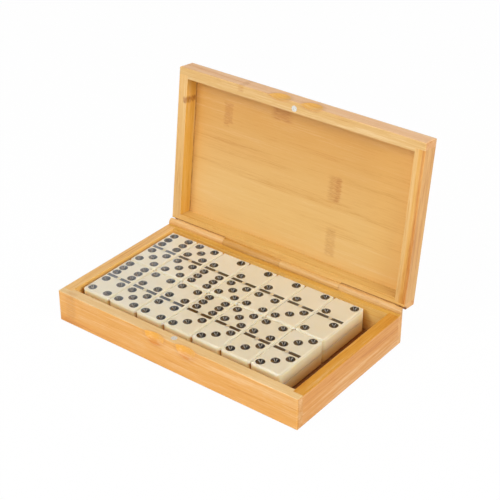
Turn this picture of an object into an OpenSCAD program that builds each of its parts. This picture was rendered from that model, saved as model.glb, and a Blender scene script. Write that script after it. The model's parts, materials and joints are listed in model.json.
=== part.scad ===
// Hinged storage box for a double-six set of dominoes.
// The origin is the centre of the base's underside. X runs along the box, Y from the front
// to the hinge, Z up. The lid stands open on its hinge. The dominoes lie in two layers, back to
// back: the upper ones face up and the lower ones face down.

/* [Dominoes] */
// Length of a domino
tile_l = 50.2; // [46:0.1:54]
// Width of a domino
tile_w = 24.9; // [22:0.1:27]
// Thickness of a domino
tile_t = 9.5; // [8:0.1:12]
// Corner radius of a domino seen from above
tile_corner = 3.2; // [1:0.1:4]
// Edge radius round a domino's face
tile_edge = 1.8; // [0.4:0.1:2.2]
// Edge radius round a domino's plain back
back_edge = 0.3; // [0.2:0.1:2]
// Diameter of a pip
pip_d = 6.6; // [4:0.1:7]
// Depth of a pip at the tip of its cone
pip_depth = 1.7; // [0.8:0.1:2.4]
// Width of the flat ring round a pip's cone
pip_ring_w = 0.8; // [0.3:0.1:1.2]
// Depth of that ring
pip_ring_depth = 0.2; // [0.1:0.1:0.4]
// Distance between neighbouring pips
pip_step = 7.1; // [6.7:0.1:8]
// Distance from a domino's middle to the middle pip of each half
half_offset = 12.85; // [12:0.05:13.5]
// Length of the bar across a domino's middle
bar_l = 21; // [12:0.5:21.5]
// Width of that bar
bar_w = 2.3; // [0.8:0.1:2.8]
// Depth of the bar's groove
bar_depth = 0.2; // [0.1:0.1:1.2]
// Diameter of the brass pin in a domino's middle
stud_d = 3; // [2:0.1:4]
// Length of the brass pin
stud_l = 4; // [2:0.1:6]
// Gap round the brass pin in its hole
stud_fit = 0.02; // [0.01:0.01:0.05]

/* [Room in the tray] */
// Gap between dominoes that lie side by side
tile_gap = 0.1; // [0.1:0.1:1]
// Gap between the front and the back row
row_gap = 0.1; // [0.1:0.1:1]
// Room left of the dominoes
room_left = 2.4; // [1:0.1:6]
// Room right of the dominoes, for the fingers
room_right = 16.7; // [6:0.1:30]
// Room in front of the dominoes
room_front = 6.1; // [1:0.1:8]
// Room behind the dominoes
room_back = 2.4; // [1:0.1:8]
// Height of the base's rim above the upper dominoes
room_above = 0.5; // [0.2:0.1:3]

/* [Rails and panels] */
// Thickness of the rails of the base and the lid
wall = 8; // [7:0.1:12]
// Thickness of the lap where a front or back rail covers a side rail's end
lap = 5.5; // [3.9:0.1:6.5]
// Thickness of the base's floor panel
floor_t = 5.5; // [3:0.1:7]
// Depth of the lid's hollow
lid_depth = 11; // [6:0.1:20]
// Thickness of the lid's panel
lid_panel_t = 3.5; // [2:0.1:5]
// Width of the rebate that holds a panel
panel_seat = 4; // [2:0.1:5]
// Radius of the outer edges
edge_r = 1.5; // [0.5:0.1:2.4]
// Radius of the outer edges along the rims
rim_r = 0.7; // [0.3:0.1:1.2]
// Gap between the two rims when the box is shut
rim_gap = 0.2; // [0.1:0.1:0.5]

/* [Hinge] */
// Angle of the opened lid
open_angle = 96.5; // [85:0.1:110]
// Distance from the box's back to the hinge axis behind it
pin_back = 0.4; // [0.2:0.1:0.8]
// Height of the hinge axis above the base's rim
pin_up = 0.4; // [0.3:0.1:0.8]
// Radius of the knuckles
knuckle_r = 3.6; // [3:0.1:3.6]
// Gap between a knuckle and the cove that it turns in
knuckle_play = 0.3; // [0.2:0.05:0.3]
// Gap between the ends of two knuckles
knuckle_gap = 0.2; // [0.1:0.1:1]
// Length at each end of the box where the knuckle is flush with the back
flush_end = 6; // [3:0.5:12]
// Diameter of the hinge pin
pin_d = 2; // [1.4:0.1:2.6]
// Running clearance of the pin in the lid's knuckles
pin_play = 0.05; // [0.02:0.01:0.1]
// Wood left beyond each end of the pin
pin_cover = 1.5; // [1:0.5:4]

/* [Catch] */
// Sideways offset of the magnets and finger scoops from the box's middle
catch_shift = -1; // [-6:0.1:6]
// Diameter of a magnet
magnet_d = 4.5; // [3:0.1:6]
// Thickness of a magnet
magnet_t = 3; // [1.5:0.5:5]
// Distance from the box's front to a magnet's middle
magnet_inset = 4.9; // [3.6:0.1:5]
// Radius of a finger scoop on the front face
scoop_r = 8.2; // [5:0.1:9]
// Depth of a finger scoop in the front rail
scoop_depth = 2; // [1:0.1:3]
// Distance between the middles of the two scoops
scoop_spacing = 27.2; // [20:0.1:50]

/* [Hidden] */
$fn = 64;
columns = 7;
overcut = 1;
pip_overlap = 0.05;
tile_pitch = tile_w + tile_gap;
row_pitch = tile_l + row_gap;
inner_l = room_left + columns * tile_pitch - tile_gap + room_right;
inner_d = room_front + row_pitch + tile_l + room_back;
box_l = inner_l + 2 * wall;
box_d = inner_d + 2 * wall;
base_h = floor_t + 2 * tile_t + room_above;
lid_h = lid_depth + lid_panel_t;
lid_z = base_h + rim_gap;
panel_l = inner_l + 2 * panel_seat;
panel_d = inner_d + 2 * panel_seat;
first_tile_x = -inner_l / 2 + room_left + tile_w / 2;
first_tile_y = -inner_d / 2 + room_front + tile_l / 2;
pin_y = box_d / 2 + pin_back;
pin_z = base_h + pin_up;
knuckle_l = box_l / 4;
pin_reach = box_l / 2 - flush_end - pin_cover;
magnet_y = -box_d / 2 + magnet_inset;
scoop_ball_r = (scoop_r * scoop_r + scoop_depth * scoop_depth) / (2 * scoop_depth);
pip_cone_h = pip_depth - pip_ring_depth;
pip_cone_r = pip_d / 2 - pip_ring_w;

bamboo = "#e6b06c";
bamboo_pale = "#efc98f";
bamboo_deep = "#d9974c";
ivory = "#eadcc0";
brass = "#b99a57";
steel = "#c9ccd0";

// Dominoes as [pips of the far half, pips of the near half], from left to right.
// The rows are upper back, upper front, lower back and lower front.
rows = [
    [[6, 5], [5, 5], [2, 6], [2, 5], [2, 4], [2, 3], [2, 2]],
    [[6, 4], [4, 5], [4, 4], [6, 3], [5, 3], [4, 3], [3, 3]],
    [[0, 0], [1, 0], [1, 1], [2, 0], [2, 1], [3, 0], [3, 1]],
    [[4, 0], [4, 1], [5, 0], [5, 1], [6, 0], [6, 1], [6, 6]]
];

BOX_NODES = [
    "base_front_rail", "base_back_rail", "base_left_rail", "base_right_rail", "base_floor",
    "base_magnet", "left_base_knuckle", "right_base_knuckle", "hinge_pin",
    "lid_front_rail", "lid_back_rail", "lid_left_rail", "lid_right_rail", "lid_panel",
    "lid_magnet", "left_lid_knuckle", "right_lid_knuckle"
];

function domino_name(halves) = str("domino_", halves[0], "_", halves[1]);

// Places of a half's pips, in steps from its middle pip
function pip_places(count) = concat(
    count % 2 == 1 ? [[0, 0]] : [],
    count > 1 ? [[1, 1], [-1, -1]] : [],
    count > 3 ? [[-1, 1], [1, -1]] : [],
    count == 6 ? [[-1, 0], [1, 0]] : []
);

// A rectangle that stands on the X axis, with its own radius for the lower and the upper corners
module edged_rect(w, h, r_low, r_high) {
    difference() {
        translate([-w / 2, 0]) square([w, h]);
        for (side = [0, 1]) mirror([side, 0]) {
            translate([-w / 2, 0]) corner_cut(r_low);
            translate([-w / 2, h]) mirror([0, 1]) corner_cut(r_high);
        }
    }
}

// What a corner of radius r loses
module corner_cut(r) {
    difference() {
        translate([-overcut, -overcut]) square(r + overcut);
        translate([r, r]) circle(r);
    }
}

// A block that stands on z = 0, rounded along every outer edge
module rounded_block(l, d, h, r_plan, r_low, r_high) {
    intersection() {
        translate([0, -d / 2, 0]) linear_extrude(h) edged_rect(l, d, r_plan, r_plan);
        translate([0, d / 2 + overcut, 0]) rotate([90, 0, 0])
            linear_extrude(d + 2 * overcut) edged_rect(l, h, r_low, r_high);
        translate([-l / 2 - overcut, 0, 0]) rotate([90, 0, 90])
            linear_extrude(l + 2 * overcut) edged_rect(d, h, r_low, r_high);
    }
}

// A cylinder on the hinge axis from x0 to x1
module on_axis(r, x0, x1) {
    translate([x0, pin_y, pin_z]) rotate([0, 90, 0]) cylinder(r = r, h = x1 - x0);
}

// Outer shape of the base, and of the shut lid
module base_block() rounded_block(box_l, box_d, base_h, edge_r, edge_r, rim_r);
module lid_block() translate([0, 0, lid_z]) rounded_block(box_l, box_d, lid_h, edge_r, rim_r, edge_r);

// A panel flush with the outside of its frame
module panel(z, t) translate([-panel_l / 2, -panel_d / 2, z]) cube([panel_l, panel_d, t]);
module base_panel() panel(0, floor_t);
module top_panel() panel(lid_z + lid_depth, lid_panel_t);

// A long rail at the front (side -1) or the back (side 1), whose laps cover the short rails' ends
module long_rail(side, z, h) {
    translate([0, side * (box_d - wall) / 2, z + h / 2]) cube([inner_l, wall, h], center = true);
    translate([0, side * (box_d - lap) / 2, z + h / 2]) cube([box_l, lap, h], center = true);
}

// A short rail at the left (side -1) or the right (side 1), between the laps
module short_rail(side, z, h) {
    translate([side * (box_l - wall) / 2, 0, z + h / 2])
        cube([wall, box_d - 2 * lap, h], center = true);
}

// The coves for the base's two outer knuckles and for the lid's two middle knuckles
module outer_coves(r) {
    for (side = [0, 1]) mirror([side, 0, 0])
        on_axis(r, -box_l / 2 - overcut, -knuckle_l);
}
module middle_cove(r) on_axis(r, -knuckle_l, knuckle_l);

// Balls that cut the two finger scoops in a front rail whose rim lies at z
module scoop_balls(z) {
    for (side = [-1, 1])
        translate([
            catch_shift + side * scoop_spacing / 2,
            -box_d / 2 - scoop_ball_r + scoop_depth,
            z
        ]) sphere(scoop_ball_r);
}

// A magnet, or its hole, from z upwards
module magnet(z, h) translate([catch_shift, magnet_y, z]) cylinder(d = magnet_d, h = h);

module base_front_rail() {
    color(bamboo) intersection() {
        base_block();
        difference() {
            long_rail(-1, 0, base_h);
            base_panel();
            scoop_balls(base_h);
            magnet(base_h - magnet_t, magnet_t + overcut);
        }
    }
}

module base_back_rail() {
    color(bamboo) intersection() {
        base_block();
        difference() {
            long_rail(1, 0, base_h);
            base_panel();
            outer_coves(knuckle_r);
            middle_cove(knuckle_r + knuckle_play);
        }
    }
}

module base_side_rail(side) {
    color(bamboo) intersection() {
        base_block();
        difference() {
            short_rail(side, 0, base_h);
            base_panel();
        }
    }
}

module base_floor() color(bamboo_deep) base_panel();

module base_magnet() color(steel) magnet(base_h - magnet_t, magnet_t);

// A knuckle glued in the base's cove: flush with the back at the box's end, then a full round
module base_knuckle(side, tint) {
    color(tint) mirror([side, 0, 0]) difference() {
        union() {
            intersection() {
                on_axis(knuckle_r, -box_l / 2, -knuckle_l - knuckle_gap / 2);
                translate([0, -box_d / 2, 0])
                    linear_extrude(pin_z + knuckle_r + overcut) edged_rect(box_l, box_d, edge_r, edge_r);
            }
            on_axis(knuckle_r, -box_l / 2 + flush_end, -knuckle_l - knuckle_gap / 2);
        }
        on_axis(pin_d / 2, -pin_reach, 0);
    }
}

module hinge_pin() color(steel) on_axis(pin_d / 2, -pin_reach, pin_reach);

// Swings what is drawn in the shut lid's place to the opened place
module opened() {
    translate([0, pin_y, pin_z]) rotate([-open_angle, 0, 0]) translate([0, -pin_y, -pin_z]) children();
}

module lid_front_rail() {
    color(bamboo_pale) opened() intersection() {
        lid_block();
        difference() {
            long_rail(-1, lid_z, lid_h);
            top_panel();
            scoop_balls(lid_z);
            magnet(lid_z - overcut, magnet_t + overcut);
        }
    }
}

module lid_back_rail() {
    color(bamboo) opened() intersection() {
        lid_block();
        difference() {
            long_rail(1, lid_z, lid_h);
            top_panel();
            outer_coves(knuckle_r + knuckle_play);
            middle_cove(knuckle_r);
        }
    }
}

module lid_side_rail(side) {
    color(bamboo) opened() intersection() {
        lid_block();
        difference() {
            short_rail(side, lid_z, lid_h);
            top_panel();
        }
    }
}

module lid_panel() color(bamboo_deep) opened() top_panel();

module lid_magnet() color(steel) opened() magnet(lid_z, magnet_t);

// A knuckle glued in the lid's cove, which turns round the pin
module lid_knuckle(side, tint) {
    color(tint) opened() mirror([side, 0, 0]) difference() {
        on_axis(knuckle_r, -knuckle_l + knuckle_gap / 2, -knuckle_gap / 2);
        on_axis(pin_d / 2 + pin_play, -knuckle_l, 0);
    }
}

// What the cutter takes out for one pip: a shallow flat ring and a cone inside it
module pip() {
    rise = 1 + pip_overlap / pip_cone_h;
    translate([0, 0, -pip_ring_depth]) cylinder(d = pip_d, h = pip_ring_depth + overcut);
    translate([0, 0, -pip_depth]) cylinder(h = pip_cone_h * rise, r1 = 0, r2 = pip_cone_r * rise);
}

// One domino, face up, standing on z = 0, with its far half towards +Y
module domino(halves) {
    color(ivory) difference() {
        rounded_block(tile_w, tile_l, tile_t, tile_corner, back_edge, tile_edge);
        for (half = [0, 1]) for (place = pip_places(halves[half]))
            translate([
                place[0] * pip_step,
                (half == 0 ? half_offset : -half_offset) + place[1] * pip_step,
                tile_t
            ]) pip();
        translate([-bar_l / 2, -bar_w / 2, tile_t - bar_depth]) cube([bar_l, bar_w, bar_depth + overcut]);
        translate([0, 0, tile_t - stud_l - stud_fit])
            cylinder(d = stud_d + 2 * stud_fit, h = stud_l + overcut);
    }
    color(brass) translate([0, 0, tile_t - stud_l]) cylinder(d = stud_d, h = stud_l);
}

// Moves a domino to its column in one of the four rows. The lower two rows are turned face down.
module in_tray(row, column) {
    translate([
        first_tile_x + column * tile_pitch,
        first_tile_y + (row % 2 == 0 ? row_pitch : 0),
        floor_t + tile_t
    ]) rotate([0, row < 2 ? 0 : 180, 0]) children();
}

base_front_rail();
base_back_rail();
base_side_rail(-1);  // base_left_rail
base_side_rail(1);  // base_right_rail
base_floor();
base_magnet();
base_knuckle(0, bamboo);  // left_base_knuckle
base_knuckle(1, bamboo_pale);  // right_base_knuckle
hinge_pin();
lid_front_rail();
lid_back_rail();
lid_side_rail(-1);  // lid_left_rail
lid_side_rail(1);  // lid_right_rail
lid_panel();
lid_magnet();
lid_knuckle(0, bamboo_deep);  // left_lid_knuckle
lid_knuckle(1, bamboo);  // right_lid_knuckle
for (row = [0 : len(rows) - 1]) for (column = [0 : columns - 1])
    in_tray(row, column) domino(rows[row][column]);
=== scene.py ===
import json
import math

import bmesh
import bpy
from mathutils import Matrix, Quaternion, Vector

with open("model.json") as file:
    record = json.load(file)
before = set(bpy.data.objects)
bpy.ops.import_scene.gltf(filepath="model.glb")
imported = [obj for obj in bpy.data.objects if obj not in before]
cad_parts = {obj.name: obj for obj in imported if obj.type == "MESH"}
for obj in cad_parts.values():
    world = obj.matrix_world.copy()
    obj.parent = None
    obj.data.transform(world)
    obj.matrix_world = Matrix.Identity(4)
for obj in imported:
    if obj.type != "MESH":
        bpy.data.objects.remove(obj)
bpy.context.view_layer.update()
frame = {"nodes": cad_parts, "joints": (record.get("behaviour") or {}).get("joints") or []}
cadNodes = frame["nodes"]
mm = 0.001  # sizes below are in millimetres
print("frame loaded:", len(cadNodes), "nodes")


def srgb(red, green, blue):
    def linear(level):
        level /= 255
        return level / 12.92 if level <= 0.04045 else ((level + 0.055) / 1.055) ** 2.4

    return (linear(red), linear(green), linear(blue), 1.0)


def measure(nodeNames):
    # lowest and highest corner of some pieces as they lie at rest
    places = [vertex.co / mm for name in nodeNames for vertex in cadNodes[name].data.vertices]
    return [Vector([pick(place[axis] for place in places) for axis in range(3)]) for pick in (min, max)]


def addToScene(name, data):
    item = bpy.data.objects.new(name, data)
    bpy.context.scene.collection.objects.link(item)
    return item


def pointAt(item, place, aim, roll=0.0):
    item.location = Vector(place) * mm
    turn = (Vector(aim) - Vector(place)).to_track_quat("-Z", "Y")
    item.rotation_mode = "QUATERNION"
    item.rotation_quaternion = turn @ Quaternion((0, 0, 1), math.radians(roll))


# Camera

camera = {
    "place": (487.0, -614.4, 533.6),
    "aim": (-25.9, 58.9, 30.0),
    "roll": 0.195,  # degrees
    "lens": 95.8,
    "sensor": 36,
    "sees": (0.05, 20),  # metres
}


def makeCamera():
    data = bpy.data.cameras.new("camera")
    data.lens = camera["lens"]
    data.sensor_width = camera["sensor"]
    data.clip_start, data.clip_end = camera["sees"]
    item = addToScene("camera", data)
    pointAt(item, camera["place"], camera["aim"], camera["roll"])
    bpy.context.scene.camera = item


# Helpers for shader trees; each takes the tree first and returns an output socket


def addNode(tree, kind, **settings):
    node = tree.nodes.new(kind)
    for key, value in settings.items():
        setattr(node, key, value)
    return node


def feed(tree, socket, value):
    if isinstance(value, bpy.types.NodeSocket):
        tree.links.new(value, socket)
    elif value is not None:
        socket.default_value = value


def feedAll(tree, node, values):
    for socket, value in zip(node.inputs, values):
        feed(tree, socket, value)


def calc(tree, operation, *values):
    node = addNode(tree, "ShaderNodeMath", operation=operation)
    feedAll(tree, node, values)
    return node.outputs[0]


def product(tree, first, *others):
    for value in others:
        first = calc(tree, "MULTIPLY", first, value)
    return first


def away(tree, value, center=None):
    # distance from a centre, or from zero
    if center is not None:
        value = calc(tree, "SUBTRACT", value, center)
    return calc(tree, "ABSOLUTE", value)


def vectorCalc(tree, operation, *values):
    node = addNode(tree, "ShaderNodeVectorMath", operation=operation)
    feedAll(tree, node, values)
    return node.outputs["Value" if operation in ("LENGTH", "DISTANCE") else "Vector"]


def turnVector(tree, axis, vector, angle, center=(0, 0, 0)):
    node = addNode(tree, "ShaderNodeVectorRotate", rotation_type=axis)
    for label, value in (("Vector", vector), ("Angle", angle), ("Center", center)):
        feed(tree, node.inputs[label], value)
    return node.outputs[0]


def mixColors(tree, amount, first, second, mode="MIX"):
    node = addNode(tree, "ShaderNodeMix", data_type="RGBA", blend_type=mode)
    for index, value in ((0, amount), (6, first), (7, second)):
        feed(tree, node.inputs[index], value)
    return node.outputs[2]


def noise(tree, position, stretch, detail=2.0, roughness=0.5):
    node = addNode(tree, "ShaderNodeTexNoise")
    stretched = vectorCalc(tree, "MULTIPLY", position, stretch)
    for label, value in (("Vector", stretched), ("Scale", 1.0), ("Detail", detail), ("Roughness", roughness)):
        feed(tree, node.inputs[label], value)
    return node.outputs[0]


def dice(tree, position):
    # one random number for each whole-number position
    node = addNode(tree, "ShaderNodeTexWhiteNoise", noise_dimensions="3D")
    feed(tree, node.inputs["Vector"], position)
    return node.outputs[0]


def fade(tree, value, start, end, low=0.0, high=1.0):
    node = addNode(tree, "ShaderNodeMapRange", interpolation_type="SMOOTHSTEP")
    feedAll(tree, node, (value, start, end, low, high))
    return node.outputs[0]


def split(tree, vector):
    node = addNode(tree, "ShaderNodeSeparateXYZ")
    feed(tree, node.inputs[0], vector)
    return node.outputs


def join(tree, *values):
    node = addNode(tree, "ShaderNodeCombineXYZ")
    feedAll(tree, node, values)
    return node.outputs[0]


def restPlace(tree):
    # where a point lies when its piece is at rest, and which way the surface faces there
    coordinates = addNode(tree, "ShaderNodeTexCoord").outputs
    position = vectorCalc(tree, "MULTIPLY", coordinates["Object"], (1 / mm, 1 / mm, 1 / mm))
    return position, coordinates["Normal"]


def newGroup(name, inputs, outputs):
    tree = bpy.data.node_groups.new(name, "ShaderNodeTree")
    kinds = {"float": "NodeSocketFloat", "color": "NodeSocketColor", "vector": "NodeSocketVector"}
    for label, kind, value in inputs:
        socket = tree.interface.new_socket(label, in_out="INPUT", socket_type=kinds[kind])
        socket.default_value = value
    for label, kind in outputs:
        tree.interface.new_socket(label, in_out="OUTPUT", socket_type=kinds[kind])
    given = addNode(tree, "NodeGroupInput").outputs
    result = addNode(tree, "NodeGroupOutput").inputs
    return tree, given, result


def useGroup(tree, group, values):
    node = addNode(tree, "ShaderNodeGroup", node_tree=group)
    for label, value in values.items():
        feed(tree, node.inputs[label], value)
    return node.outputs


def newMaterial(name, **shaderValues):
    material = bpy.data.materials.new(name)
    material.use_nodes = True
    tree = material.node_tree
    shader = tree.nodes["Principled BSDF"]
    for label, value in shaderValues.items():
        shader.inputs[label.replace("_", " ")].default_value = value
    return material, tree, shader


def addBump(tree, shader, height, strength, distance):
    bump = addNode(tree, "ShaderNodeBump")
    bump.inputs["Strength"].default_value = strength
    bump.inputs["Distance"].default_value = distance * mm
    feed(tree, bump.inputs["Height"], height)
    feed(tree, shader.inputs["Normal"], bump.outputs[0])


def setMaterial(nodeName, material):
    for materialSlot in cadNodes[nodeName].material_slots:
        materialSlot.material = material


# Bamboo. The pose group turns every piece into the same pose: lid shut, fibres along X, outer face
# towards -Y. A fade's values are where it starts and ends and, where there are four, what it gives.

hinge = next(joint for joint in frame["joints"] if joint["name"] == "lid_hinge")
openAngle = math.radians(-hinge["range_deg"][0])
hingeAt = Vector(hinge["pos_m"]) / mm

bamboo = {
    "dark": srgb(232, 206, 164), "deep": srgb(224, 184, 128),  # both darken the base colour
    "pale": srgb(255, 236, 196), "paleShare": 0.3,
    "weights": {"Bands": 1.6, "Lines": 0.9, "Fibres": 1.6, "Pores": 1.0, "Tone": 0.3},
    "streaks": (0.62, 0.8, 0.0, 0.4),
    "roughness": (0.2, 0.8, 0.4, 0.54),
    "varnish": {"Coat_Weight": 0.12, "Coat_Roughness": 0.28},
    "bump": (0.25, 0.05),
}
grain = {  # stretch along X, Y and Z, detail and roughness of each noise
    "Bands": ((0.007, 0.12, 0.12), 2.0, 0.5),
    "Fibres": ((0.04, 1.1, 1.1), 3.0, 0.6),
    "Lines": ((0.012, 0.42, 0.42), 3.0, 0.7),
    "Pores": ((0.2, 4.5, 4.5), 2.0, 0.6),
}
strip = {"layersFrom": 8.0, "seedShift": 7.31, "toneShift": 91.0}  # the shifts keep strips unlike
scar = {
    "wander": 6.0, "ragged": ((0.12, 0.9, 0.9), 3.0, 0.7), "specks": (0.2, 2.6, 2.6),
    "along": (1.05, 0.4), "across": (1.0, 0.75), "speckle": (0.38, 0.6, 0.25, 1.0),
}


def makePoseGroup():
    tree, given, result = newGroup(
        "bambooPose",
        [("Tilt", "float", 0.0), ("Turn", "float", 0.0)],
        [("Position", "vector"), ("Normal", "vector")],
    )
    position, normal = restPlace(tree)
    for label, vector, center in (("Position", position, hingeAt), ("Normal", normal, (0, 0, 0))):
        tilted = turnVector(tree, "X_AXIS", vector, given["Tilt"], center)
        feed(tree, result[label], turnVector(tree, "Z_AXIS", tilted, given["Turn"]))
    return tree


def makeStripGroup():
    # bamboo strips glued side by side, each with its own tone, bands and fibres
    tree, given, result = newGroup(
        "bambooStrips",
        [
            ("Position", "vector", (0, 0, 0)),
            ("Strip Width", "float", 20.0),
            ("Strip Height", "float", 12.0),
            ("Strip Start", "float", 0.0),
            ("Seed", "float", 0.0),
        ],
        [("Tone", "float"), ("Bands", "float"), ("Fibres", "float"), ("Lines", "float"), ("Pores", "float")],
    )

    def findStep(value, start, width):
        return calc(tree, "FLOOR", calc(tree, "DIVIDE", calc(tree, "SUBTRACT", value, start), width))

    x, y, z = split(tree, given["Position"])
    row = findStep(y, given["Strip Start"], given["Strip Width"])
    layer = findStep(z, strip["layersFrom"], given["Strip Height"])
    tone = dice(tree, join(tree, row, layer, given["Seed"]))
    shift = product(tree, given["Seed"], strip["seedShift"])
    offset = calc(tree, "MULTIPLY_ADD", tone, strip["toneShift"], shift)
    place = vectorCalc(tree, "ADD", given["Position"], join(tree, offset, offset, offset))
    feed(tree, result["Tone"], tone)
    for label, (stretch, detail, roughness) in grain.items():
        feed(tree, result[label], noise(tree, place, stretch, detail, roughness))
    return tree


def makeFigureGroup():
    # colour and finish of a bamboo surface from its strips
    tree, given, result = newGroup(
        "bambooFigure",
        [
            ("Base", "color", (0.8, 0.5, 0.2, 1)),
            ("Tone", "float", 0.5),
            ("Bands", "float", 0.5),
            ("Fibres", "float", 0.5),
            ("Lines", "float", 0.5),
            ("Pores", "float", 0.5),
            ("Contrast", "float", 1.0),
        ],
        [("Color", "color"), ("Roughness", "float"), ("Height", "float")],
    )
    dark = mixColors(tree, 1.0, given["Base"], bamboo["dark"], "MULTIPLY")
    deep = mixColors(tree, 1.0, given["Base"], bamboo["deep"], "MULTIPLY")
    pale = mixColors(tree, bamboo["paleShare"], given["Base"], bamboo["pale"])
    figure = 0.0
    for label, weight in bamboo["weights"].items():
        figure = calc(tree, "MULTIPLY_ADD", calc(tree, "SUBTRACT", given[label], 0.5), weight, figure)
    figure = product(tree, figure, given["Contrast"], 2.0)
    color = mixColors(tree, fade(tree, figure, 0.0, 1.0), given["Base"], dark)
    color = mixColors(tree, fade(tree, figure, 0.0, -1.0), color, pale)
    streaks = product(tree, fade(tree, given["Lines"], *bamboo["streaks"]), given["Contrast"])
    feed(tree, result["Color"], mixColors(tree, streaks, color, deep))
    feed(tree, result["Roughness"], fade(tree, given["Fibres"], *bamboo["roughness"]))
    feed(tree, result["Height"], calc(tree, "MULTIPLY_ADD", given["Fibres"], 0.5, given["Pores"]))
    return tree


def makeMarkGroup():
    # the brown scar where a leaf joint grew, ragged along the fibres
    tree, given, result = newGroup(
        "bambooMark",
        [
            ("Position", "vector", (0, 0, 0)),
            ("Center", "vector", (0, 0, 0)),
            ("Length", "float", 5.0),
            ("Width", "float", 10.0),
            ("Strength", "float", 1.0),
        ],
        [("Mark", "float")],
    )
    x, y, z = split(tree, vectorCalc(tree, "SUBTRACT", given["Position"], given["Center"]))
    ragged = calc(tree, "SUBTRACT", noise(tree, given["Position"], *scar["ragged"]), 0.5)
    x = calc(tree, "MULTIPLY_ADD", ragged, scar["wander"], x)
    along = fade(tree, calc(tree, "DIVIDE", away(tree, x), given["Length"]), *scar["along"])
    across = fade(tree, calc(tree, "DIVIDE", away(tree, y), given["Width"]), *scar["across"])
    specks = fade(tree, noise(tree, given["Position"], scar["specks"]), *scar["speckle"])
    feed(tree, result["Mark"], product(tree, along, across, specks, given["Strength"]))
    return tree


poseGroup = makePoseGroup()
stripGroup = makeStripGroup()
figureGroup = makeFigureGroup()
markGroup = makeMarkGroup()


def addMarks(tree, position, color, piece):
    for place, length, width, strength in piece.get("marks", ()):
        mark = useGroup(tree, markGroup, {
            "Position": position,
            "Center": (*place, 0),
            "Length": length,
            "Width": width,
            "Strength": strength,
        })["Mark"]
        color = mixColors(tree, mark, color, piece["mark"])
    return color


def addFigure(tree, position, base, piece):
    strips = useGroup(tree, stripGroup, {
        "Position": position,
        "Strip Width": piece["stripWidth"],
        "Strip Height": piece["stripHeight"],
        "Strip Start": piece.get("stripStart", 0.0),
        "Seed": piece["seed"],
    })
    values = {label: strips[label] for label in bamboo["weights"]}
    return useGroup(tree, figureGroup, {"Base": base, "Contrast": piece["contrast"], **values})


def finishBamboo(tree, shader, figure, color):
    feed(tree, shader.inputs["Base Color"], color)
    feed(tree, shader.inputs["Roughness"], figure["Roughness"])
    addBump(tree, shader, figure["Height"], *bamboo["bump"])


# Rails and knuckles

boxLow, boxHigh = measure(["base_front_rail", "base_back_rail"])
scoop = {
    "middle": -1.0, "spacing": 27.2, "halfWidth": 8.2, "depth": 2.0,
    "rimGap": 0.2,  # between the two rims when the box is shut
    "soft": (0.1, 0.3), "line": (0.2, 2.2), "lineStrength": 0.4,
    "lowZ": 17.5, "highZ": 22.5,  # painted shade: the hollow's colour darkens towards its bottom between these heights
}
cove = {"reach": 4.2, "soft": 0.4, "fromX": boxHigh.x / 2, "softX": 0.3}  # reach from the hinge's axis
faceBlend = {"side": (-0.45, 0.45), "rim": (0.45, 0.85), "end": (0.6, 0.85)}  # of the normal
stripeSoft = 0.5


def findScoops(tree, position, rimZ):
    # masks of the two finger scoops cut in a front rail and of the line around them
    radius = (scoop["halfWidth"] ** 2 + scoop["depth"] ** 2) / (2 * scoop["depth"])
    centerY = boxLow.y + scoop["depth"] - radius
    middles = (scoop["middle"] + side * scoop["spacing"] / 2 for side in (-1, 1))
    distances = (vectorCalc(tree, "DISTANCE", position, (middle, centerY, rimZ)) for middle in middles)
    nearest = calc(tree, "MINIMUM", *distances)
    inner, outer = (radius + soft for soft in scoop["soft"])
    inside = fade(tree, nearest, outer, inner)
    inner, outer = (radius + line for line in scoop["line"])
    return inside, fade(tree, nearest, outer, inner, 0.0, scoop["lineStrength"])


def findCoveShadow(tree, position):
    # 1 in the coves that the base's outer knuckles turn in, where a painted shadow line lies
    x, y, z = split(tree, position)
    fromAxis = vectorCalc(tree, "SUBTRACT", join(tree, 0, y, z), (0, -hingeAt.y, hingeAt.z))
    near = fade(tree, vectorCalc(tree, "LENGTH", fromAxis), cove["reach"] + cove["soft"], cove["reach"])
    fromX, softX = cove["fromX"], cove["softX"]
    return product(tree, near, fade(tree, away(tree, x), fromX - softX, fromX + softX))


def makeRailMaterial(name, rail):
    material, tree, shader = newMaterial(name, **bamboo["varnish"])
    pose = useGroup(tree, poseGroup, {"Tilt": rail["tilt"], "Turn": math.radians(rail["turn"])})
    position = pose["Position"]
    x, y, z = split(tree, position)
    normalX, normalY, normalZ = split(tree, pose["Normal"])
    if rail.get("lidRail"):
        normalZ = product(tree, normalZ, -1.0)  # the lid's rim faces down when it is shut
    rim = rail["rim"]
    for distance, color in rail.get("rimStripes", ()):  # distance from the outer face
        edge = distance - boxHigh.x
        rim = mixColors(tree, fade(tree, y, edge - stripeSoft, edge + stripeSoft), rim, color)
    # outer, inner, rim and end faces take their own colours: rim and end grain differ for real, and the
    # colours also carry painted light and shade on each face
    base = mixColors(tree, fade(tree, normalY, *faceBlend["side"]), rail["outer"], rail["inner"])
    base = mixColors(tree, fade(tree, normalZ, *faceBlend["rim"]), base, rim)
    base = mixColors(tree, fade(tree, away(tree, normalX), *faceBlend["end"]), base, rail["end"])
    if "scoop" in rail:
        # painted shade inside the scoops, darker towards their bottom
        cut = mixColors(tree, fade(tree, z, scoop["highZ"], scoop["lowZ"]), rail["scoop"], rail["scoopShadedLow"])
        rimZ = boxHigh.z + (scoop["rimGap"] if rail.get("lidRail") else 0.0)
        inside, around = findScoops(tree, position, rimZ)
        base = mixColors(tree, around, base, rail["scoopEdge"])
        base = mixColors(tree, inside, base, cut)
    figure = addFigure(tree, position, base, {"stripWidth": 40.0, "stripHeight": 40.0, **rail})
    color = addMarks(tree, position, figure["Color"], rail)
    # a painted shadow line in the coves behind the base's outer knuckles
    if "coveShadow" in rail:
        color = mixColors(tree, findCoveShadow(tree, position), color, rail["coveShadow"])
    finishBamboo(tree, shader, figure, color)
    return material


# face colours: bamboo colour with painted light and shade for each face
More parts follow.
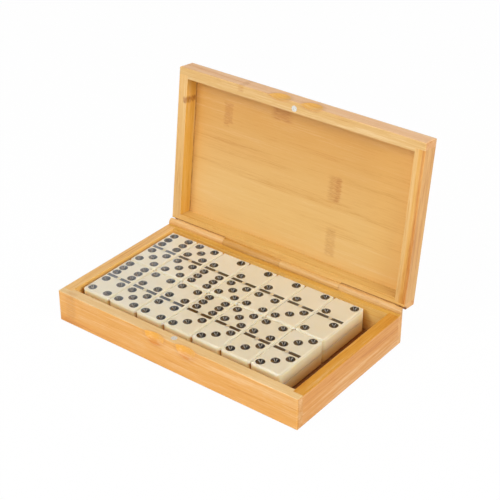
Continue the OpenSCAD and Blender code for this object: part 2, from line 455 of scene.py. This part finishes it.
rails = {
    "base_front_rail": {
        "tilt": 0.0, "turn": 0, "seed": 1.0, "stripHeight": 30.0, "contrast": 0.7,
        "outer": srgb(229, 164, 75), "inner": srgb(214, 150, 74),
        "rim": srgb(225, 186, 125), "end": srgb(205, 140, 55),
        "scoop": srgb(234, 168, 62), "scoopShadedLow": srgb(214, 134, 42), "scoopEdge": srgb(214, 140, 56),
        "mark": srgb(176, 110, 50),
        "marks": [((-93.5, -62.5), 6.0, 6.0, 0.3)],  # (x, y), half length, half width, strength
    },
    "base_back_rail": {
        "tilt": 0.0, "turn": 180, "seed": 2.0, "contrast": 0.7,
        "outer": srgb(226, 160, 86), "inner": srgb(242, 197, 110),
        "rim": srgb(213, 163, 69), "end": srgb(222, 166, 96),
    },
    "base_left_rail": {
        "tilt": 0.0, "turn": 90, "seed": 3.0, "contrast": 0.7,
        "outer": srgb(226, 160, 86), "inner": srgb(255, 208, 120),
        "rim": srgb(232, 184, 112), "end": srgb(222, 166, 96),
    },
    "base_right_rail": {
        "tilt": 0.0, "turn": -90, "seed": 4.0, "contrast": 0.7,
        "outer": srgb(211, 144, 59), "inner": srgb(206, 148, 70),
        "rim": srgb(211, 146, 45), "end": srgb(222, 166, 96),
    },
    "lid_front_rail": {
        "tilt": openAngle, "turn": 0, "seed": 5.0, "contrast": 0.7, "lidRail": True,
        "outer": srgb(238, 185, 129), "inner": srgb(212, 150, 74),
        "rim": srgb(219, 175, 107), "end": srgb(212, 152, 88),
        "scoop": srgb(232, 172, 76), "scoopShadedLow": srgb(226, 160, 66), "scoopEdge": srgb(206, 140, 70),
        "mark": srgb(196, 130, 62),
        "marks": [((-48, -61.0), 3.0, 4.0, 0.5)],
    },
    "lid_back_rail": {
        "tilt": openAngle, "turn": 180, "seed": 6.0, "contrast": 0.7, "lidRail": True,
        "outer": srgb(220, 160, 92), "inner": srgb(221, 179, 101),
        "rim": srgb(232, 184, 103), "end": srgb(222, 166, 96),
        "coveShadow": srgb(178, 120, 62),
    },
    "lid_left_rail": {
        "tilt": openAngle, "turn": 90, "seed": 7.0, "contrast": 0.7, "lidRail": True,
        "outer": srgb(222, 162, 92), "inner": srgb(228, 176, 76),
        "rim": srgb(227, 180, 109), "end": srgb(222, 166, 96),
        "mark": srgb(158, 84, 28),
        "marks": [((38.0, -97.4), 2.8, 3.6, 0.9)],
    },
    "lid_right_rail": {
        "tilt": openAngle, "turn": -90, "seed": 8.0, "contrast": 0.7, "lidRail": True,
        "outer": srgb(214, 162, 90), "inner": srgb(214, 160, 84),
        "rim": srgb(216, 152, 76), "end": srgb(222, 166, 96),
        "rimStripes": [(2.4, srgb(226, 172, 88)), (5.0, srgb(228, 184, 116))],
    },
}
# as on the rails, the face colours carry painted light and shade
knuckles = {
    "left_base_knuckle": {
        "tilt": 0.0, "turn": 180, "seed": 9.0, "contrast": 0.6,
        "outer": srgb(207, 161, 63), "inner": srgb(222, 168, 96),
        "rim": srgb(224, 172, 98), "end": srgb(206, 150, 82),
    },
    "left_lid_knuckle": {
        "tilt": openAngle, "turn": 180, "seed": 10.0, "contrast": 0.6,
        "outer": srgb(198, 146, 74), "inner": srgb(199, 144, 59),
        "rim": srgb(194, 142, 72), "end": srgb(186, 130, 64),
    },
    "right_lid_knuckle": {
        "tilt": openAngle, "turn": 180, "seed": 11.0, "contrast": 0.6,
        "outer": srgb(216, 170, 102), "inner": srgb(217, 171, 99),
        "rim": srgb(216, 170, 102), "end": srgb(206, 150, 82),
    },
    "right_base_knuckle": {
        "tilt": 0.0, "turn": 180, "seed": 12.0, "contrast": 0.8,
        "outer": srgb(206, 194, 111), "inner": srgb(218, 174, 108),
        "rim": srgb(222, 178, 112), "end": srgb(208, 156, 88),
    },
}
for nodeName, rail in rails.items():
    setMaterial(nodeName, makeRailMaterial(nodeName.replace("rail", "bamboo"), rail))
for nodeName, knuckle in knuckles.items():
    setMaterial(nodeName, makeRailMaterial(nodeName.replace("knuckle", "bamboo_round"), knuckle))
print("rails and knuckles finished")


# Panels: wide strips laid flat. "under" is the lower face of a shut box's panel, with painted light towards
# its back, front and right; "inside" is the side that faces the dominoes, 1 for up.

panels = {
    "lid_panel": {
        "tilt": openAngle, "inside": -1.0, "seed": 21.0, "contrast": 0.38,
        "stripWidth": 20.0, "stripHeight": 60.0, "stripStart": -8.0,
        "top": srgb(228, 168, 100), "edge": srgb(206, 150, 82),
        "under": srgb(214, 158, 78), "underBackLit": srgb(232, 189, 116),
        "underFrontLit": srgb(224, 170, 92), "underRightLit": srgb(246, 190, 102),
        "mark": srgb(182, 112, 44),
        "marks": [
            ((-67.0, -32.5), 3.2, 10.5, 0.48),
            ((-63.5, -34.0), 2.2, 9.0, 0.4),
            ((-18.0, -47.0), 11.0, 7.0, 0.6),
            ((32.0, -3.5), 6.5, 11.0, 0.5),
            ((35.0, -3.5), 3.0, 10.5, 0.45),
            ((33.0, 37.5), 5.0, 12.0, 0.4),
        ],
    },
    "base_floor": {
        "tilt": 0.0, "inside": 1.0, "seed": 22.0, "contrast": 0.5,
        "stripWidth": 20.0, "stripHeight": 60.0, "stripStart": 3.0,
        # painted shade: the floor's top is dark, as it lies only in shade between the tiles and the rails
        "top": srgb(172, 108, 46), "edge": srgb(206, 150, 82),
        "under": srgb(226, 166, 96), "underBackLit": srgb(226, 168, 100),
        "underFrontLit": srgb(226, 168, 100), "underRightLit": srgb(226, 168, 100),
        "mark": srgb(150, 92, 42),
        "marks": [
            ((-40.0, 20.0), 4.0, 10.0, 0.6),
            ((52.0, -24.0), 4.0, 10.0, 0.5),
            ((5.0, -42.0), 3.0, 9.0, 0.4),
        ],
    },
}
panelFace = (0.3, 0.7)  # of the normal
# where the painted light on the panels' lower faces fades in
underFade = {"back": (-50.0, 40.0), "front": (-42.0, -54.0), "right": (50.0, 97.0, 0.0, 0.6)}
# painted shade in the corners where a panel meets the rails
cornerShade = {
    "color": srgb(150, 86, 36), "reach": (1.5, 0.1),
    "patches": (0.2, 0.2, 0.2), "strength": (0.3, 0.6, 0.15, 0.6),
}
hollowX = measure(["base_right_rail"])[0].x
hollowY = measure(["base_back_rail"])[0].y


def findCornerShade(tree, position, facing):
    # painted shade in uneven patches where a panel's inner face meets the rails
    x, y, z = split(tree, position)
    toSide = calc(tree, "SUBTRACT", hollowX, away(tree, x))
    toFront = calc(tree, "ADD", hollowY, y)
    inCorner = fade(tree, calc(tree, "MINIMUM", toSide, toFront), *cornerShade["reach"])
    uneven = fade(tree, noise(tree, position, cornerShade["patches"]), *cornerShade["strength"])
    return product(tree, inCorner, fade(tree, facing, *panelFace), uneven)


def makePanelMaterial(name, panel):
    material, tree, shader = newMaterial(name, **bamboo["varnish"])
    pose = useGroup(tree, poseGroup, {"Tilt": panel["tilt"]})
    position = pose["Position"]
    x, y, z = split(tree, position)
    normalZ = split(tree, pose["Normal"])[2]
    # painted light towards the back, front and right of a panel's lower face
    under = mixColors(tree, fade(tree, y, *underFade["back"]), panel["under"], panel["underBackLit"])
    under = mixColors(tree, fade(tree, y, *underFade["front"]), under, panel["underFrontLit"])
    under = mixColors(tree, fade(tree, x, *underFade["right"]), under, panel["underRightLit"])
    base = mixColors(tree, fade(tree, normalZ, *panelFace), panel["edge"], panel["top"])
    base = mixColors(tree, fade(tree, product(tree, normalZ, -1.0), *panelFace), base, under)
    figure = addFigure(tree, position, base, panel)
    color = addMarks(tree, position, figure["Color"], panel)
    # painted shade in the corners
    cornerShading = findCornerShade(tree, position, product(tree, normalZ, panel["inside"]))
    finishBamboo(tree, shader, figure, mixColors(tree, cornerShading, color, cornerShade["color"]))
    return material


for nodeName, panel in panels.items():
    setMaterial(nodeName, makePanelMaterial(nodeName + "_bamboo", panel))
print("panels finished")


# Dominoes: one resin for all. Paint lies wherever the surface dips under a tile's face; the upper
# layer's faces look up and the lower layer's look down.

domino = {
    "columns": 7, "rows": 2,
    "faceHalfX": 10.9, "faceHalfY": 23.4, "faceDepth": 2.0,  # where paint can lie
    "dip": (0.03, 0.07),  # paint starts and is full this deep
    "pinRadius": 1.5, "pinSoft": 0.03,
    "barHalfX": 10.6, "barHalfY": 1.4, "barGap": 2.2, "barSoft": 0.1,  # paint spread over the bar's rim
    "resin": srgb(229, 224, 208), "resinWarm": srgb(221, 209, 179),
    "mottle": ((0.09, 0.09, 0.09), 3.0, 0.6),
    "warmth": {"tile": 0.25, "mottle": 0.4, "right": 0.4},
    "reflectionWarmsToRight": (-95.0, 20.0),  # painted reflection: tiles get warmer between these places along X
    # the edge colour is painted shade that dims the rounded top edges
    "edge": srgb(214, 204, 176), "shadedEdgeSlope": (0.97, 0.7, 0.0, 0.75),
    # the lower sides' colour is painted shade and warm reflected light
    "side": srgb(238, 232, 199), "sideShadeLow": srgb(246, 213, 142),
    "sideHeights": (23.5, 8.0), "sideSlope": (0.75, 0.25),
    # painted light along the seam between the two layers hides its dark line
    "seam": srgb(250, 216, 150), "seamLightReach": (1.2, 0.3, 0.0, 0.8),
    # painted light in the gaps between tiles hides their dark lines, with painted shade lower down
    "inGap": srgb(255, 246, 226), "gapShadeLow": srgb(196, 144, 78),
    "gapHeights": (22.6, 21.4), "gapSlope": (0.4, 0.7),
    "gapEnds": (77.0, 76.0),  # to the right of these the sides lie open
    # painted warm shade on the front sides of the front row
    "sideFrontShade": srgb(236, 210, 150), "frontHeights": (23.5, 20.0), "frontSlope": (-0.3, -0.8),
    # the paint turns grey towards the left as a painted reflection of the white studio
    "paint": srgb(16, 13, 11), "paintGreyReflection": srgb(90, 92, 94), "greyReflectionToLeft": (-25.0, -85.0),
    "brass": srgb(232, 216, 176), "brassMetal": 0.45,
    "roughness": 0.3, "mottleRoughness": 0.08, "paintGloss": -0.27,
    "coat": (0.2, 1.0),  # on bare resin and on paint
    "glow": (1.0, 0.9, 0.7),  # how far each colour travels inside the resin
    "bumps": (0.25, 0.25, 0.25), "bump": (0.1, 0.02),
}
dominoNames = [nodeName for nodeName in cadNodes if nodeName.startswith("domino_")]
tileLow, tileHigh = measure(dominoNames[:1])
tileSize = tileHigh - tileLow
tilesLow, tilesHigh = measure(dominoNames)
firstTile = tilesLow + tileSize / 2
lastTile = tilesHigh - tileSize / 2


def makeDominoMaterial():
    material, tree, shader = newMaterial(
        "domino_resin", Coat_Roughness=0.04, Subsurface_Weight=0.9, Subsurface_Scale=0.004
    )
    shader.inputs["Subsurface Radius"].default_value = domino["glow"]
    position, normal = restPlace(tree)
    x, y, z = split(tree, position)
    normalX, normalY, normalZ = split(tree, normal)

    def findCell(value, first, last, count):
        pitch = (last - first) / (count - 1)
        steps = calc(tree, "DIVIDE", calc(tree, "SUBTRACT", value, first), pitch)
        cell = calc(tree, "ROUND", steps)
        return product(tree, calc(tree, "SUBTRACT", steps, cell), pitch), cell

    # places on a tile, and the masks of what is painted and what is brass
    localX, column = findCell(x, firstTile.x, lastTile.x, domino["columns"])
    localY, row = findCell(y, firstTile.y, lastTile.y, domino["rows"])
    fromMiddle = calc(tree, "SUBTRACT", z, tilesLow.z + tileSize.z)
    layer = calc(tree, "GREATER_THAN", fromMiddle, 0.0)
    depth = calc(tree, "SUBTRACT", tileSize.z, away(tree, fromMiddle))
    awayX, awayY = (away(tree, value) for value in (localX, localY))
    onFace = product(
        tree,
        calc(tree, "LESS_THAN", awayX, domino["faceHalfX"]),
        calc(tree, "LESS_THAN", awayY, domino["faceHalfY"]),
        calc(tree, "LESS_THAN", depth, domino["faceDepth"]),
    )
    soft = domino["barSoft"]
    spill = product(
        tree,
        fade(tree, awayY, domino["barHalfY"] + soft, domino["barHalfY"]),
        fade(tree, awayX, domino["barHalfX"] + soft, domino["barHalfX"]),
        fade(tree, awayX, domino["barGap"], domino["barGap"] + soft),
        onFace,
    )
    painted = calc(tree, "MAXIMUM", product(tree, fade(tree, depth, *domino["dip"]), onFace), spill)
    fromPin = vectorCalc(tree, "LENGTH", join(tree, localX, localY, 0.0))
    pin = fade(tree, fromPin, domino["pinRadius"] + domino["pinSoft"], domino["pinRadius"])
    pin = product(tree, pin, onFace)

    # colour of the faces: random tone and mottle, with a painted reflection that warms the tiles towards the
    # right
    tileTone = dice(tree, join(tree, column, row, layer))
    mottle = noise(tree, position, *domino["mottle"])
    warmth = domino["warmth"]
    warm = calc(tree, "MULTIPLY_ADD", tileTone, warmth["tile"], product(tree, mottle, warmth["mottle"]))
    warm = calc(tree, "MULTIPLY_ADD", fade(tree, x, *domino["reflectionWarmsToRight"]), warmth["right"], warm)
    resin = mixColors(tree, warm, domino["resin"], domino["resinWarm"])
    # painted shade on the rounded top edges
    resin = mixColors(tree, fade(tree, normalZ, *domino["shadedEdgeSlope"]), resin, domino["edge"])

    # colour of the sides: painted shade and warm reflected light, yellower towards the tray's floor
    side = mixColors(tree, fade(tree, z, *domino["sideHeights"]), domino["side"], domino["sideShadeLow"])
    # painted light along the seam between the layers
    seamLit = fade(tree, away(tree, fromMiddle), *domino["seamLightReach"])
    side = mixColors(tree, seamLit, side, domino["seam"])
    # painted light in the gaps between tiles, with painted shade lower down
    inGap = mixColors(tree, fade(tree, z, *domino["gapHeights"]), domino["inGap"], domino["gapShadeLow"])
    between = fade(tree, away(tree, normalX), *domino["gapSlope"])
    between = product(tree, fade(tree, x, *domino["gapEnds"]), between)
    side = mixColors(tree, between, side, inGap)
    # painted warm shade on the front sides of the front row
    toFront = product(
        tree,
        fade(tree, normalY, *domino["frontSlope"]),
        fade(tree, z, *domino["frontHeights"]),
        calc(tree, "LESS_THAN", row, 0.5),
    )
    side = mixColors(tree, toFront, side, domino["sideFrontShade"])
    resin = mixColors(tree, fade(tree, away(tree, normalZ), *domino["sideSlope"]), resin, side)

    # painted grey reflection on the paint towards the left
    paint = mixColors(tree, fade(tree, x, *domino["greyReflectionToLeft"]), domino["paint"], domino["paintGreyReflection"])
    color = mixColors(tree, painted, resin, paint)
    color = mixColors(tree, pin, color, domino["brass"])
    feed(tree, shader.inputs["Base Color"], color)
    feed(tree, shader.inputs["Metallic"], product(tree, pin, domino["brassMetal"]))
    feed(tree, shader.inputs["Coat Weight"], fade(tree, painted, 0.0, 1.0, *domino["coat"]))
    roughness = calc(tree, "MULTIPLY_ADD", mottle, domino["mottleRoughness"], domino["roughness"])
    roughness = calc(tree, "MULTIPLY_ADD", painted, domino["paintGloss"], roughness)
    feed(tree, shader.inputs["Roughness"], roughness)
    addBump(tree, shader, noise(tree, position, domino["bumps"], 1.0), *domino["bump"])
    return material


dominoMaterial = makeDominoMaterial()
for nodeName in dominoNames:
    setMaterial(nodeName, dominoMaterial)
print("dominoes finished")


# Metal pieces

metals = {
    "magnet_nickel": {
        "pieces": ["base_magnet", "lid_magnet"],
        "color": srgb(228, 226, 220), "worn": srgb(196, 194, 190),
        "metallic": 0.6, "roughness": (0.24, 0.38),
    },
    "pin_steel": {
        "pieces": ["hinge_pin"],
        "color": srgb(190, 190, 192), "worn": srgb(140, 140, 144),
        "metallic": 1.0, "roughness": (0.28, 0.42),
    },
}
scuff = {"size": ((1.4, 1.4, 1.4), 4.0, 0.65), "worn": (0.4, 0.75), "rough": (0.3, 0.7), "bump": (0.15, 0.03)}


def makeMetal(name, metal):
    material, tree, shader = newMaterial(name, Metallic=metal["metallic"])
    scuffs = noise(tree, restPlace(tree)[0], *scuff["size"])
    color = mixColors(tree, fade(tree, scuffs, *scuff["worn"]), metal["color"], metal["worn"])
    feed(tree, shader.inputs["Base Color"], color)
    feed(tree, shader.inputs["Roughness"], fade(tree, scuffs, *scuff["rough"], *metal["roughness"]))
    addBump(tree, shader, scuffs, *scuff["bump"])
    return material


for name, metal in metals.items():
    metalMaterial = makeMetal(name, metal)
    for nodeName in metal["pieces"]:
        setMaterial(nodeName, metalMaterial)
print("metal pieces finished")


# Floor and light

floor = {"size": 6000, "color": srgb(244, 243, 241), "roughness": 0.9, "whiteness": 0.98}


def makeFloor():
    mesh = bpy.data.meshes.new("floor")
    half = floor["size"] / 2 * mm
    sheet = bmesh.new()
    corners = ((-half, -half, 0), (half, -half, 0), (half, half, 0), (-half, half, 0))
    sheet.faces.new([sheet.verts.new(corner) for corner in corners])
    sheet.to_mesh(mesh)
    sheet.free()
    item = addToScene("floor", mesh)
    material, tree, shader = newMaterial("floor_paper", Roughness=floor["roughness"])
    shader.inputs["Base Color"].default_value = floor["color"]
    glow = addNode(tree, "ShaderNodeEmission")
    glow.inputs["Color"].default_value = (1, 1, 1, 1)
    rays = addNode(tree, "ShaderNodeLightPath").outputs
    reflected = calc(tree, "MAXIMUM", rays["Is Glossy Ray"], rays["Is Transmission Ray"])
    seen = calc(tree, "MAXIMUM", rays["Is Camera Ray"], reflected)
    mixer = addNode(tree, "ShaderNodeMixShader")
    feedAll(tree, mixer, (product(tree, seen, floor["whiteness"]), shader.outputs[0], glow.outputs[0]))
    feed(tree, tree.nodes["Material Output"].inputs["Surface"], mixer.outputs[0])
    mesh.materials.append(material)


lamps = {
    "keyLamp": {"place": (-300, -900, 950), "size": (700, 700), "power": 9.8},
    "sideLamp": {"place": (1100, -150, 640), "size": (700, 700), "power": 9.0, "noShine": True},
    "leftGlint": {
        "place": (-386, -183, 1037), "size": (420, 170), "power": 2.4,
        "tint": (1, 0.86, 0.7), "onlyShine": True,
    },
    "rightGlint": {
        "place": (278, 323, 1037), "size": (420, 170), "power": 2.4,
        "tint": (1, 0.86, 0.7), "onlyShine": True,
    },
}
lampAim = (0, 0, 20)


def makeLamps():
    for name, lamp in lamps.items():
        data = bpy.data.lights.new(name, "AREA")
        data.energy = lamp["power"]
        data.color = lamp.get("tint", (1, 1, 1))
        data.shape = "RECTANGLE"
        data.size, data.size_y = (side * mm for side in lamp["size"])
        item = addToScene(name, data)
        pointAt(item, lamp["place"], lampAim)
        item.visible_diffuse = not lamp.get("onlyShine")
        item.visible_glossy = not lamp.get("noShine")


# the walls and the ceiling are darker in reflections only, so that polished faces keep their colour
studio = {
    "light": 0.36,
    "ceiling": {"from": 0.5, "to": 0.8, "strength": 0.07},  # from and to are parts of a direction
    "leftWall": {"from": -0.66, "to": -0.8, "strength": 0.15},
    "rightWall": {"from": 0.6, "to": 0.8, "strength": 0.15},
}


def makeStudio():
    world = bpy.data.worlds.new("studio")
    bpy.context.scene.world = world
    world.use_nodes = True
    tree = world.node_tree
    background = tree.nodes["Background"]
    background.inputs["Color"].default_value = (1, 1, 1, 1)
    rays = addNode(tree, "ShaderNodeLightPath").outputs
    x, y, z = split(tree, addNode(tree, "ShaderNodeTexCoord").outputs["Generated"])
    mirrored = 1.0
    for heading, side in ((z, "ceiling"), (x, "leftWall"), (x, "rightWall")):
        wall = studio[side]
        dimmed = fade(tree, heading, wall["from"], wall["to"], 1.0, wall["strength"])
        mirrored = product(tree, mirrored, dimmed)
    reflected = calc(tree, "MAXIMUM", rays["Is Glossy Ray"], rays["Is Transmission Ray"])
    strength = fade(tree, reflected, 0.0, 1.0, studio["light"], mirrored)
    feed(tree, background.inputs["Strength"], calc(tree, "MAXIMUM", strength, rays["Is Camera Ray"]))
    bpy.context.scene.view_settings.view_transform = "Standard"


makeCamera()
makeFloor()
makeLamps()
makeStudio()
print("camera, floor and light finished")
